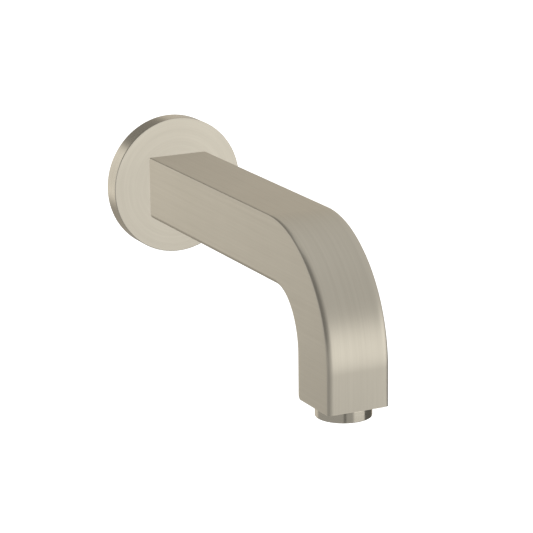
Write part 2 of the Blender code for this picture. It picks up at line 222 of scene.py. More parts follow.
def metal(name, grain, tangent, colours, roughness, anisotropy, rotation, marks):
    """A worked metal. grain places the marks, tangent says which way they run.

    colours are the high spots, the low spots and the colour seen along the surface.
    marks is (contrast of roughness, bump height, size of the slow unevenness). Fine marks, coarser bands of
    marks and the slow unevenness drive the colour and the roughness together; the marks alone drive the bump.
    """
    material, tree = start_material(name)
    rough_swing, bump_height, cloud = marks
    places = grain(tree)
    fine = add(tree, "ShaderNodeTexNoise", {"Vector": places, "Scale": 1.0, "Detail": 3.0, "Roughness": 0.65})
    bands = add(tree, "ShaderNodeTexNoise", {"Vector": places, "Scale": 0.23, "Detail": 1.0})
    object_place = add(tree, "ShaderNodeTexCoord")
    uneven = add(
        tree,
        "ShaderNodeTexNoise",
        {"Vector": object_place.outputs["Object"], "Scale": 1 / cloud, "Detail": 2.0},
    )
    both = add(tree, "ShaderNodeMix", {"Factor": 0.45, 2: fine.outputs["Fac"], 3: bands.outputs["Fac"]})
    level = add(tree, "ShaderNodeMix", {"Factor": 0.2, 2: both.outputs[0], 3: uneven.outputs["Fac"]})
    shade = add(
        tree,
        "ShaderNodeMapRange",
        {"Value": level.outputs[0], "From Min": 0.3, "From Max": 0.7},
        interpolation_type="SMOOTHSTEP",
    )
    colour = add(
        tree,
        "ShaderNodeMix",
        {"Factor": shade.outputs[0], 6: linear(colours[1]), 7: linear(colours[0])},
        data_type="RGBA",
    )
    rough = add(
        tree,
        "ShaderNodeMapRange",
        {
            "Value": level.outputs[0],
            "From Min": 0.3,
            "From Max": 0.7,
            "To Min": roughness + rough_swing,
            "To Max": roughness - rough_swing,
        },
    )
    bump = add(
        tree, "ShaderNodeBump", {"Height": both.outputs[0], "Strength": 0.35, "Distance": bump_height}
    )
    direction = add(tree, "ShaderNodeTangent", **tangent)
    surface(
        tree,
        Base_Color=colour.outputs[2],
        Metallic=1.0,
        Specular_Tint=linear(colours[2]),
        Roughness=rough.outputs[0],
        Anisotropic=anisotropy,
        Anisotropic_Rotation=rotation,
        Tangent=direction.outputs[0],
        Normal=bump.outputs[0],
    )
    return material


def belt_brushed_nickel(finish):
    """Nickel plated brass, brushed on a belt along its length.

    Real scratches lie about 0.05 mm apart. They are drawn 0.3 mm apart so that they just show, as faint
    streaks. The grain smears reflections across the streaks and leaves them crisper along them.
    """
    return metal(
        "nickel_plate_belt_brushed",
        lambda tree: flat_grain(tree, 0.3 * MM, 22 * MM),
        {"direction_type": "UV_MAP", "uv_map": "brush"},
        (finish.nickel, finish.nickel_worn, finish.nickel_edge),
        finish.nickel_rough,
        finish.nickel_grain,
        0.0,
        (0.015, 0.0015 * MM, 24 * MM),
    )


def turned_plate_nickel(name, finish, roughness):
    """The cover plate's nickel. Its marks are circles, so it looks the same from every side."""
    return metal(
        name,
        lambda tree: turned_grain(tree, 0.35 * MM, 16 * MM, "Y"),
        {"direction_type": "RADIAL", "axis": "Y"},
        (finish.nickel, finish.nickel_worn, finish.nickel_edge),
        roughness,
        0.2,
        0.25,
        (0.01, 0.0008 * MM, 20 * MM),
    )


def face_turned_nickel(finish):
    """Nickel plated brass brushed while it spun: an even, soft face with faint circles round the axis."""
    return turned_plate_nickel("nickel_plate_face_turned", finish, finish.nickel_rough * 0.85)


def rim_turned_nickel(finish):
    """Nickel plated brass skimmed on the lathe: smoother than the face, so its shades change sharply."""
    return turned_plate_nickel("nickel_plate_rim_turned", finish, finish.nickel_rough * 0.5)


def satin_ring_nickel(finish):
    """Nickel plate on the small turned outlet ring, brushed more finely, so its reflections are sharper."""
    return metal(
        "nickel_plate_satin_turned",
        lambda tree: turned_grain(tree, 0.3 * MM, 9 * MM, "Z", tuple(OUTLET)),
        {"direction_type": "RADIAL", "axis": "Z"},
        (finish.nickel, finish.nickel_worn, finish.nickel_edge),
        finish.nickel_rough * 0.5,
        finish.nickel_grain,
        0.25,
        (0.015, 0.001 * MM, 9 * MM),
    )


def machined_brass(finish):
    """Bare brass from the lathe: fine tool rings, and duller patches where it was handled."""
    return metal(
        "brass_machined",
        lambda tree: turned_grain(tree, 0.3 * MM, 12 * MM, "Y"),
        {"direction_type": "RADIAL", "axis": "Y"},
        (finish.brass, finish.brass_dull, "FFF1D2"),
        0.26,
        0.5,
        0.25,
        (0.06, 0.004 * MM, 7 * MM),
    )


def stainless_steel(finish):
    """Drawn and cold headed stainless steel: nearly even, with a faint grain."""
    return metal(
        "stainless_steel_drawn",
        lambda tree: turned_grain(tree, 0.25 * MM, 5 * MM, "Z", (0, SCREW_LOW.y, 0)),
        {"direction_type": "RADIAL", "axis": "Z"},
        (finish.steel, finish.steel_dull, "FFFFFF"),
        0.3,
        0.3,
        0.25,
        (0.05, 0.002 * MM, 3 * MM),
    )


def soft_material(name, colour, ior, roughness, grain, depth, specks=0.25, metallic=0.0):
    """A matte material whose colour, roughness and bump follow one grain size."""
    material, tree = start_material(name)
    place = add(tree, "ShaderNodeTexCoord").outputs["Object"]
    grit = add(tree, "ShaderNodeTexNoise", {"Vector": place, "Scale": 1 / grain, "Detail": 3.0})
    cloud = add(tree, "ShaderNodeTexNoise", {"Vector": place, "Scale": 0.08 / grain, "Detail": 2.0})
    level = add(tree, "ShaderNodeMix", {"Factor": 0.5, 2: grit.outputs["Fac"], 3: cloud.outputs["Fac"]})
    base = Vector(linear(colour))
    dark, light = base * (1 - specks), base * (1 + specks)
    dark.w = light.w = 1
    mixed = add(
        tree, "ShaderNodeMix", {"Factor": level.outputs[0], 6: tuple(dark), 7: tuple(light)}, data_type="RGBA"
    )
    rough = add(
        tree,
        "ShaderNodeMapRange",
        {"Value": grit.outputs["Fac"], "To Min": roughness - 0.08, "To Max": roughness + 0.08},
    )
    bump = add(tree, "ShaderNodeBump", {"Height": grit.outputs["Fac"], "Strength": 0.4, "Distance": depth})
    surface(
        tree,
        Base_Color=mixed.outputs[2],
        IOR=ior,
        Metallic=metallic,
        Roughness=rough.outputs[0],
        Normal=bump.outputs[0],
    )
    return material


def cast_brass(finish):
    """Brass as it left the sand mould, inside the bores: grainy and half matte, so the bores stay dark."""
    return soft_material("brass_sand_cast", finish.brass_cast, 1.5, 0.62, 0.5 * MM, 0.04 * MM, 0.3, 0.4)


def moulded_rubber(finish):
    """Moulded EPDM rubber: dark, with a dull bloom from the mould."""
    return soft_material("epdm_rubber_moulded", finish.rubber, 1.52, 0.55, 0.3 * MM, 0.01 * MM)


def cellular_foam(finish):
    """Die cut polyethylene foam: open cells about 0.4 mm across on the cut faces."""
    return soft_material("polyethylene_foam_cut", finish.foam, 1.5, 0.88, 0.4 * MM, 0.12 * MM, 0.35)


def pressed_fibre(finish):
    """Vulcanised red fibre, punched from sheet: matte, with paper fibres in it."""
    return soft_material("vulcanised_fibre_punched", finish.fibre, 1.53, 0.7, 0.25 * MM, 0.03 * MM, 0.3)


def moulded_acetal(finish):
    """Injection moulded acetal: a waxy, even plastic with a fine spark eroded texture."""
    return soft_material("acetal_moulded", finish.acetal, 1.48, 0.38, 0.2 * MM, 0.006 * MM, 0.05)


def light_table():
    """Opal acrylic lit from below: plain, pale and without a shadow."""
    material, tree = start_material("opal_acrylic_lit")
    place = add(tree, "ShaderNodeTexCoord").outputs["Object"]
    haze = add(tree, "ShaderNodeTexNoise", {"Vector": place, "Scale": 0.8, "Detail": 1.0})
    rough = add(tree, "ShaderNodeMapRange", {"Value": haze.outputs["Fac"], "To Min": 0.8, "To Max": 0.9})
    surface(
        tree,
        Base_Color=linear("F4F4F2"),
        Roughness=rough.outputs[0],
        Emission_Color=linear("FFFFFF"),
        Emission_Strength=1.0,
    )
    return material


# Meshes


def ease(outline, radius, steps=4):
    """The closed outline with each corner rounded by up to the radius. Corners on the axis stay."""
    points = [Vector(point) for point in outline]
    found = []
    for before, corner, after in zip(points[-1:] + points[:-1], points, points[1:] + points[:1]):
        back, on = before - corner, after - corner
        if corner.x < 1e-7:
            found.append(corner)
            continue
        reach = min(radius, back.length * 0.45, on.length * 0.45)
        start, end = corner + back.normalized() * reach, corner + on.normalized() * reach
        for step in range(steps + 1):
            part = step / steps
            found.append(start.lerp(corner, part).lerp(corner.lerp(end, part), part))
    return found


def ease_open(outline, radius, steps=4):
    """The outline with each corner between its two ends rounded."""
    return [outline[0], *ease(outline, radius, steps)[steps + 1 : -steps - 1], outline[-1]]


def ring_outline(inner, outer, low, high):
    return [(inner, low), (outer, low), (outer, high), (inner, high)]


def torus_outline(ring_radius, height, section_radius, steps=24):
    angles = [math.tau * step / steps for step in range(steps)]
    return [
        (ring_radius + section_radius * math.cos(a), height + section_radius * math.sin(a)) for a in angles
    ]


def thread(root, crest, pitch, low, high, runout):
    """Outline rows of a right-hand thread: (radius as a function of the angle, height)."""
    rows_a_turn, flank = 10, 2.64  # flank: how steeply the ridge rises, in ridge heights a pitch
    rows = round((high - low) / pitch * rows_a_turn)

    def row(height):
        ends = min(height - low, high - height)
        fade = min(1.0, ends / runout)

        def radius(angle):
            phase = (height / pitch - angle / math.tau) % 1
            ridge = min(1.0, flank * min(phase, 1 - phase))
            return root + (crest - root) * ridge * fade

        return radius, height

    return [row(low + (high - low) * step / rows) for step in range(rows + 1)]


def hexagon(across_flats):
    """Radius of a hexagon as a function of the angle."""
    sixth = math.tau / 6
    return lambda angle: across_flats / 2 / math.cos((angle + sixth / 2) % sixth - sixth / 2)


def turned(outline, segments=ROUND):
    """A bmesh turned about local Z. An outline row is a radius, or a function of the angle, and a height."""
    bm = bmesh.new()
    loops = []
    for radius, height in outline:
        if not callable(radius) and radius < 1e-7:
            loops.append([bm.verts.new((0, 0, height))] * segments)
            continue
        loop = []
        for step in range(segments):
            angle = math.tau * step / segments
            reach = radius(angle) if callable(radius) else radius
            loop.append(bm.verts.new((reach * math.cos(angle), reach * math.sin(angle), height)))
        loops.append(loop)
    join_loops(bm, loops + loops[:1])
    return bm


def join_loops(bm, loops):
    """Faces between each loop and the next, quads or triangles where a loop is one point."""
    for first, second in zip(loops, loops[1:]):
        for a, b, c, d in zip(first, first[1:] + first[:1], second[1:] + second[:1], second):
            corners = list(dict.fromkeys((a, b, c, d)))
            if len(corners) > 2:
                bm.faces.new(corners)


def make_piece(name, bm, material, body, slot, *nodes, place=None):
    """A new piece from the bmesh, riding on its body in place of the CAD nodes.

    The pieces are left out of each other's reflections, so the brushed faces show only the soft studio.
    """
    bmesh.ops.recalc_face_normals(bm, faces=bm.faces)
    mesh = bpy.data.meshes.new(name)
    bm.to_mesh(mesh)
    bm.free()
    mesh.materials.append(material)
    if place:
        mesh.transform(place)
    mesh.shade_smooth()
    mesh.set_sharp_from_angle(angle=SHARP_ANGLE)
    piece = bpy.data.objects.new(name, mesh)
    piece.visible_glossy = False
    bpy.context.scene.collection.objects.link(piece)
    piece.modifiers.new("even faces", "WEIGHTED_NORMAL").keep_sharp = True
    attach(piece, body)
    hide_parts(*nodes)
    return piece


def cut(piece, bm, place=None):
    """Takes the bmesh out of the piece for good."""
    bmesh.ops.recalc_face_normals(bm, faces=bm.faces)
    mesh = bpy.data.meshes.new("cutter")
    bm.to_mesh(mesh)
    bm.free()
    mesh.transform(place or Matrix())
    cutter = bpy.data.objects.new("cutter", mesh)
    bpy.context.scene.collection.objects.link(cutter)
    piece.modifiers.clear()
    boolean = piece.modifiers.new("cut", "BOOLEAN")
    boolean.operation, boolean.solver, boolean.object = "DIFFERENCE", "EXACT", cutter
    graph = bpy.context.evaluated_depsgraph_get()
    cut_mesh = bpy.data.meshes.new_from_object(piece.evaluated_get(graph), depsgraph=graph)
    piece.modifiers.clear()
    old, piece.data = piece.data, cut_mesh
    bpy.data.objects.remove(cutter)
    bpy.data.meshes.remove(mesh)
    cut_mesh.name = old.name
    bpy.data.meshes.remove(old)
    cut_mesh.set_sharp_from_angle(angle=SHARP_ANGLE)
    piece.modifiers.new("even faces", "WEIGHTED_NORMAL").keep_sharp = True


# The casting


BEND_STEPS, HEEL_STEPS = 56, 6


def casting_stations(shape):
    """(outer, inner, edge share, distance along) down the spout in (Y, Z), from the wall end to the foot.

    The upper edges are crisp along the arm and widen to their full rounding in the first part of the bend.
    """
    widening = 1.1
    reach, top = -CASTING_LOW.y, CASTING_HIGH.z
    outer_centre = Vector((-(reach - shape.outer_along), top - shape.outer_down))
    inner_centre = Vector((-(reach - shape.leg_deep - shape.inner_along), -top - shape.inner_down))
    joint = PLATE_LOW.y - 0.05 * MM
    pairs = [(Vector((joint, top)), Vector((joint, -top)), shape.crisp_share)]
    for step in range(BEND_STEPS + 1):
        angle = math.pi / 2 * step / BEND_STEPS
        sine, cosine = math.sin(angle), math.cos(angle)
        outer = outer_centre + Vector((-shape.outer_along * sine, shape.outer_down * cosine))
        inner = inner_centre + Vector((-shape.inner_along * sine, shape.inner_down * cosine))
        pairs.append((outer, inner, min(1.0, shape.crisp_share + widening * angle)))
    foot = CASTING_LOW.z
    for step in range(HEEL_STEPS + 1):
        angle = math.pi / 2 * step / HEEL_STEPS
        height = foot + shape.heel * (1 - math.sin(angle))
        back = -(reach - shape.leg_deep) - shape.heel * (1 - math.cos(angle))
        pairs.append((Vector((-reach, height)), Vector((back, height)), 1.0))
    found, distance, last = [], 0.0, pairs[0]
    for outer, inner, edge in pairs:
        distance += ((outer + inner) / 2 - (last[0] + last[1]) / 2).length
        found.append((outer, inner, edge, distance))
        last = (outer, inner)
    return found


def section_places(shape, outer, inner, edge, shrink=0.0):
    """(across, up) of a rounded square's points about its middle, anticlockwise from the right side."""
    corner_steps, flat_steps = 10, 5
    half_wide, half_high = CASTING_HIGH.x - shrink, (outer - inner).length / 2 - shrink
    upper = (shape.upper_face * edge, shape.upper_side * edge)
    lower = (shape.lower_edge, shape.lower_edge)
    corners = ((1, 1, *upper), (-1, 1, *upper), (-1, -1, *lower), (1, -1, *lower))

    def on_corner(corner, angle):
        side, rise, wide, high = corner
        across = side * (half_wide - wide) + wide * math.cos(angle)
        return Vector((across, rise * (half_high - high) + high * math.sin(angle)))

    found = []
    for index, corner in enumerate(corners):
        for step in range(corner_steps + 1):
            angle = math.pi / 2 * (index + step / corner_steps)
            found.append(on_corner(corner, angle))
        here, ahead = found[-1], on_corner(corners[(index + 1) % 4], angle)
        found += [here.lerp(ahead, step / (flat_steps + 1)) for step in range(1, flat_steps + 1)]
    return found


def brush_map(bm, run):
    """Writes the brush map: across the marks, then along them. They run along the arm on its sides too."""
    layer = bm.loops.layers.uv.new("brush")
    for face in bm.faces:
        on_side = abs(face.normal.x) > 0.97
        for loop in face.loops:
            spot = loop.vert.co
            loop[layer].uv = (spot.z, spot.y) if on_side else (spot.x, loop.vert[run])


def casting_mesh(shape):
    """One closed skin: outside from the wall end to the foot, then back up the bores inside."""
    bm = bmesh.new()
    run = bm.verts.layers.float.new("run")
    stations = casting_stations(shape)
    angles = [math.atan2(p.y, p.x) for p in section_places(shape, *stations[0][:3])]
    loops = []

    def add_loop(middle, up, distance, places):
        loop = []
        for across, rise in places:
            spot = middle + up * rise
            vertex = bm.verts.new((across, spot.x, spot.y))
            vertex[run] = distance
            loop.append(vertex)
        loops.append(loop)

    def add_section(outer, inner, edge, distance, shrink=0.0):
        places = section_places(shape, outer, inner, edge, shrink)
        add_loop((outer + inner) / 2, (outer - inner).normalized(), distance, places)

    def add_circle(middle, up, distance, radius):
        add_loop(middle, up, distance, [(radius * math.cos(a), radius * math.sin(a)) for a in angles])

    rear_rounding, foot_rounding, steps = 0.4 * MM, 0.3 * MM, 3
    rear_outer, rear_inner, rear_edge, _ = stations[0]
    for step in range(steps + 1):
        angle = math.pi / 2 * step / steps
        inset, depth = rear_rounding * (1 - math.sin(angle)), rear_rounding * (1 - math.cos(angle))
        out = Vector((-depth, 0))
        add_section(rear_outer + out, rear_inner + out, rear_edge, depth, inset)
    for station in stations[1:-1]:
        add_section(*station)
    add_section(*stations[-1], foot_rounding)
    outside = len(loops)

    bore, lead = RING_HIGH.x - 0.1 * MM, 0.4 * MM
    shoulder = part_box("aerator_gasket")[1].z + SLACK
    foot_distance = stations[-1][3]
    for radius, height in (
        (bore + lead, OUTLET.z), (bore, OUTLET.z + lead), (bore, shoulder), (shape.waterway, shoulder)
    ):
        add_circle(Vector((OUTLET.y, height)), Vector((-1, 0)), foot_distance, radius)
    for outer, inner, _, distance in reversed(stations[1 : -HEEL_STEPS - 1]):
        add_circle((outer + inner) / 2, (outer - inner).normalized(), distance, shape.waterway)
    socket_end, socket_mouth, lead = 1.5 * MM - NIPPLE_LOW.y, -CASTING_HIGH.y, 0.5 * MM
    for radius, out in (
        (shape.waterway, socket_end), (SOCKET, socket_end),
        (SOCKET, socket_mouth + lead), (SOCKET + lead, socket_mouth)
    ):
        add_circle(Vector((-out, 0)), Vector((0, 1)), 0.0, radius)

    join_loops(bm, loops[: outside + 1])
    skin = len(bm.faces)
    join_loops(bm, loops[outside:] + loops[:1])
    bm.faces.ensure_lookup_table()
    for face in bm.faces[skin:]:
        face.material_index = 1
    bmesh.ops.recalc_face_normals(bm, faces=bm.faces)
    brush_map(bm, run)
    return bm


class SPOUT_OT_casting(bpy.types.Operator):
    """Make the brushed casting: square arm, bend and leg, with its bores"""

    bl_idname = "bath_spout.casting"
    bl_label = "Casting"

    def execute(self, context):
        finish = context.scene.spout_finish
        material = belt_brushed_nickel(finish)
        casting = make_piece(
            "spout_casting", casting_mesh(context.scene.spout_shape), material, "spout", "brushed_nickel",
            "spout_body",
        )
        casting.data.materials.append(cast_brass(finish))
        hole, lead, past, inside = SCREW_HIGH.x + SLACK, 0.4 * MM, 2 * MM, 5 * MM
        tapped = [(0, -past), (hole + past + lead, -past), (hole, lead), (hole, inside), (0, inside)]
        place = Matrix.Translation((0, SCREW_LOW.y + SCREW_HIGH.x, -CASTING_HIGH.z))
        cut(casting, turned(tapped, SMALL_ROUND), place)
        return {"FINISHED"}


# The wall fixing


class SPOUT_OT_cover_plate(bpy.types.Operator):
    """Make the round cover plate with its hollow back and ring groove"""

    bl_idname = "bath_spout.cover_plate"
    bl_label = "Cover plate"

    def execute(self, context):
        radius, deep = PLATE_HIGH.x, -PLATE_LOW.y
        ring_low, ring_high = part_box("escutcheon_oring")
        hole = NIPPLE_HIGH.x - 2.5 * MM
        groove, groove_far, groove_near = ring_high.x + SLACK, SLACK - ring_low.y, -ring_high.y - SLACK
        collar_room, collar_deep, hollow, hollow_deep = 16 * MM, 4.2 * MM, 23 * MM, 6.2 * MM
        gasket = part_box("escutcheon_gasket")[1].x + SLACK
        gasket_inner, gasket_deep = gasket - 4 * MM, 1.5 * MM
        outline = [
            (radius, 0),
            (radius, deep),
            (hole, deep),
            (hole, groove_far),
            (groove, groove_far),
            (groove, groove_near),
            (hole, groove_near),
            (hole, collar_deep),
            (collar_room, collar_deep),
            (collar_room, hollow_deep),
            (hollow, hollow_deep),
            (hollow, 0),
            (gasket_inner, 0),
            (gasket_inner, gasket_deep),
            (gasket, gasket_deep),
            (gasket, 0),
        ]
        mesh = turned(ease(outline, 0.3 * MM), FINE_ROUND)
        finish = context.scene.spout_finish
        plate = make_piece(
            "cover_plate", mesh, face_turned_nickel(finish), "spout", "turned_nickel", "escutcheon",
            place=AWAY_FROM_WALL,
        )
        plate.data.materials.append(rim_turned_nickel(finish))
        for face in plate.data.polygons:
            on_rim = math.hypot(face.center.x, face.center.z) > radius - 0.1 * MM
            face.material_index = 1 if on_rim else 0
        return {"FINISHED"}


def nipple_outline():
    """Bore, pipe thread, collar, latch groove, ring grooves and hexagon recess of the nipple."""
    bore, tail, pitch, thread_deep = 5.9 * MM, 10.3 * MM, 1.814 * MM, 0.9 * MM
    collar_near, collar_far = 1.8 * MM, 3.6 * MM
    latch_deep, latch_floor, latch_mouth = 2.0 * MM, 1.6 * MM, 2.8 * MM
    ring_groove, ring_room = 8.6 * MM, 0.35 * MM
    key, key_deep, key_lead = hexagon(12 * MM), 10 * MM, 0.5 * MM
    end, start = -NIPPLE_LOW.y, -NIPPLE_HIGH.y
    latch = -(SCREW_LOW.y + SCREW_HIGH.x)
    rows = [(bore, start), (tail - 1.4 * MM, start)]
    rows += thread(tail - thread_deep, tail, pitch, start + 0.6 * MM, -0.6 * MM, 1.6 * MM)
    collar = [(NIPPLE_HIGH.x, collar_near), (NIPPLE_HIGH.x, collar_far)]
    rows += ease_open([(tail - thread_deep, collar_near), *collar, (SLEEVE, collar_far)], 0.3 * MM)
    rows += [(SLEEVE, latch - latch_mouth), (SLEEVE - latch_deep, latch - latch_floor)]
    rows += [(SLEEVE - latch_deep, latch + latch_floor), (SLEEVE, latch + latch_mouth)]
    for name in ("sleeve_oring_rear", "sleeve_oring_front"):
        low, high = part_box(name)
        near, far = -high.y - ring_room, -low.y + ring_room
        rows += [(SLEEVE, near), (ring_groove, near), (ring_groove, far), (SLEEVE, far)]
    rows += [(SLEEVE, end - 1.2 * MM), (SLEEVE - 0.8 * MM, end)]
    return rows + [(7.4 * MM, end), (key, end - key_lead), (key, end - key_deep), (bore, end - key_deep)]


class SPOUT_OT_wall_nipple(bpy.types.Operator):
    """Make the brass nipple that screws into the wall and carries the casting"""

    bl_idname = "bath_spout.wall_nipple"
    bl_label = "Wall nipple"

    def execute(self, context):
        material = machined_brass(context.scene.spout_finish)
        nipple = turned(nipple_outline())
        make_piece("nipple", nipple, material, "spout", "brass", "wall_nipple", place=AWAY_FROM_WALL)
        return {"FINISHED"}


class SPOUT_OT_grub_screw(bpy.types.Operator):
    """Make the threaded set screw with its hexagon socket"""

    bl_idname = "bath_spout.grub_screw"
    bl_label = "Grub screw"

    def execute(self, context):
        crest, tall = SCREW_HIGH.x, SCREW_HIGH.z - SCREW_LOW.z
        key, key_deep, key_lead = hexagon(2.5 * MM), 2.5 * MM, 0.25 * MM
        pitch, thread_deep, tip, ease_by = 0.8 * MM, 0.4 * MM, 1.6 * MM, 0.05 * MM
        rows = [(0, 2.8 * MM), (0.6 * MM, 2.7 * MM), (key, key_deep), (key, key_lead), (1.7 * MM, 0)]
        rows += thread(crest - thread_deep, crest, pitch, ease_by, tall - tip, 0.5 * MM)
        rows += [(1.2 * MM, tall - ease_by), (1.1 * MM, tall), (0, tall)]
        place = Matrix.Translation((0, SCREW_LOW.y + crest, SCREW_LOW.z))
        material = stainless_steel(context.scene.spout_finish)
        make_piece("set_screw", turned(rows, 60), material, "latch", "steel", "grub_screw", place=place)
        return {"FINISHED"}


class SPOUT_OT_seals(bpy.types.Operator):
    """Make the rubber rings, the fibre washer and the foam gasket"""

    bl_idname = "bath_spout.seals"
    bl_label = "Seals"

    def execute(self, context):
        finish = context.scene.spout_finish
        rubber = moulded_rubber(finish)
        for name in ("escutcheon_oring", "sleeve_oring_rear", "sleeve_oring_front"):
            low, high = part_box(name)
            section = (high.y - low.y) / 2
            outline = torus_outline(high.x - section, -(low.y + high.y) / 2, section)
            make_piece(
                f"ring_of_{name}", turned(outline), rubber, "spout", "rubber", name, place=AWAY_FROM_WALL
            )
        washer_low, washer_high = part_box("nipple_washer")
        washer = ring_outline(10.6 * MM, washer_high.x, -washer_high.y, -washer_low.y)
        make_piece(
            "fibre_washer", turned(ease(washer, 0.15 * MM)), pressed_fibre(finish), "spout", "fibre",
            "nipple_washer", place=AWAY_FROM_WALL,
        )
        foam_low, foam_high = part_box("escutcheon_gasket")
        foam = ring_outline(foam_high.x - 3.4 * MM, foam_high.x, -foam_high.y, -foam_low.y)
        make_piece(
            "foam_ring", turned(ease(foam, 0.2 * MM)), cellular_foam(finish), "spout", "foam",
            "escutcheon_gasket", place=AWAY_FROM_WALL,
        )
        low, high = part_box("aerator_gasket")
        gasket = ring_outline(8.6 * MM, high.x, low.z - OUTLET.z, high.z - OUTLET.z)
        make_piece(
            "flat_ring", turned(ease(gasket, 0.25 * MM)), rubber, "aerator_insert", "rubber",
            "aerator_gasket", place=AT_OUTLET,
        )
        return {"FINISHED"}


# The aerator


class SPOUT_OT_outlet_ring(bpy.types.Operator):
    """Make the threaded ring that holds the aerator, with its visible skirt"""

    bl_idname = "bath_spout.outlet_ring"
    bl_label = "Outlet ring"

    def execute(self, context):
        skirt, drop, top = RING_HIGH.x, RING_LOW.z - OUTLET.z, RING_HIGH.z - OUTLET.z
        lip, seat, crest = 8.6 * MM, 9.6 * MM, 11.0 * MM
        neck, root, pitch = 10.2 * MM, 10.4 * MM, 1.0 * MM
        ledge = drop + 1.3 * MM
        corners = [(lip, ledge), (lip, drop), (skirt, drop), (skirt, -SLACK), (neck, -SLACK)]
        rows = ease_open([(seat, ledge), *corners, (neck, 0.4 * MM)], 0.3 * MM)
        rows += thread(root, crest, pitch, 0.5 * MM, top - 0.3 * MM, 0.5 * MM)
        rows += [(10.1 * MM, top), (seat, top)]
        material = satin_ring_nickel(context.scene.spout_finish)
        ring = make_piece(
            "outlet_ring", turned(rows, FINE_ROUND), material, "aerator_ring", "ring_nickel",
            "aerator_housing", place=AT_OUTLET,
        )
        notches = bmesh.new()  # for the spanner that unscrews it
        for quarter in range(4):
            spot = Matrix.Rotation(math.tau * quarter / 4, 4, "Z") @ Matrix.Translation((9 * MM, 0, drop))
            size = Matrix.Diagonal((2.2 * MM, 2.2 * MM, 1.8 * MM, 1))
            bmesh.ops.create_cube(notches, size=1, matrix=spot @ size)
        cut(ring, notches, AT_OUTLET)
        return {"FINISHED"}


def cell_places(pitch, reach):
    """Middles of a honeycomb's cells inside a radius."""
    rows = int(reach / pitch) + 2
    found = []
    for row in range(-rows, rows + 1):
        for column in range(-rows, rows + 1):
            middle = Vector(((column + row / 2) * pitch, row * pitch * math.sqrt(0.75), 0))
            if middle.length <= reach:
                found.append(middle)
    return found


def cells_mesh(places, across, sides, low, high, turn_by=0.0):
    """Upright prisms at the places, for cutting."""
    bm = bmesh.new()
    radius = across / 2 / math.cos(math.pi / sides)
    for middle in places:
        place = Matrix.Translation(middle + Vector((0, 0, (low + high) / 2)))
        place @= Matrix.Rotation(turn_by, 4, "Z")
        bmesh.ops.create_cone(
            bm, cap_ends=True, segments=sides, radius1=radius, radius2=radius, depth=high - low, matrix=place
        )
    return bm


def tube_along(bm, path, radius):
    """A capped wire through the path's points."""
    sides = 6
    loops = []
    for index, point in enumerate(path):
        ahead = (path[min(index + 1, len(path) - 1)] - path[max(index - 1, 0)]).normalized()
        across = ahead.cross(Vector((0, 0, 1))).normalized()
        over = across.cross(ahead)
        angles = [math.tau * side / sides for side in range(sides)]
        loops.append(
            [bm.verts.new(point + radius * (across * math.cos(a) + over * math.sin(a))) for a in angles]
        )
    join_loops(bm, loops)
    bm.faces.new(loops[0])
    bm.faces.new(loops[-1])


def woven_screen(radius, middle, turn_by):
    """A round of plain woven wire cloth in a pressed rim."""
    pitch, wire_radius, lift_by, rim = 0.9 * MM, 0.0715 * MM, 0.09 * MM, 0.2 * MM
    bm = turned(torus_outline(radius - rim, middle, rim, 10), 72)
    count = int((radius - 2 * rim) / pitch)
    for way in range(2):
        spin = Matrix.Rotation(turn_by + way * math.pi / 2, 3, "Z")
        for index in range(-count, count + 1):
            offset = index * pitch
            half = math.sqrt((radius - 0.25 * MM) ** 2 - offset**2)
            steps = max(8, int(half / pitch * 8))
            path = []
            for step in range(steps + 1):
                along = -half + 2 * half * step / steps
                lift = lift_by * math.cos(math.pi * (along / pitch + index + way)) * (1 - 2 * way)
                path.append(spin @ Vector((along, offset, 0)) + Vector((0, 0, middle + lift)))
            tube_along(bm, path, wire_radius)
    return bm


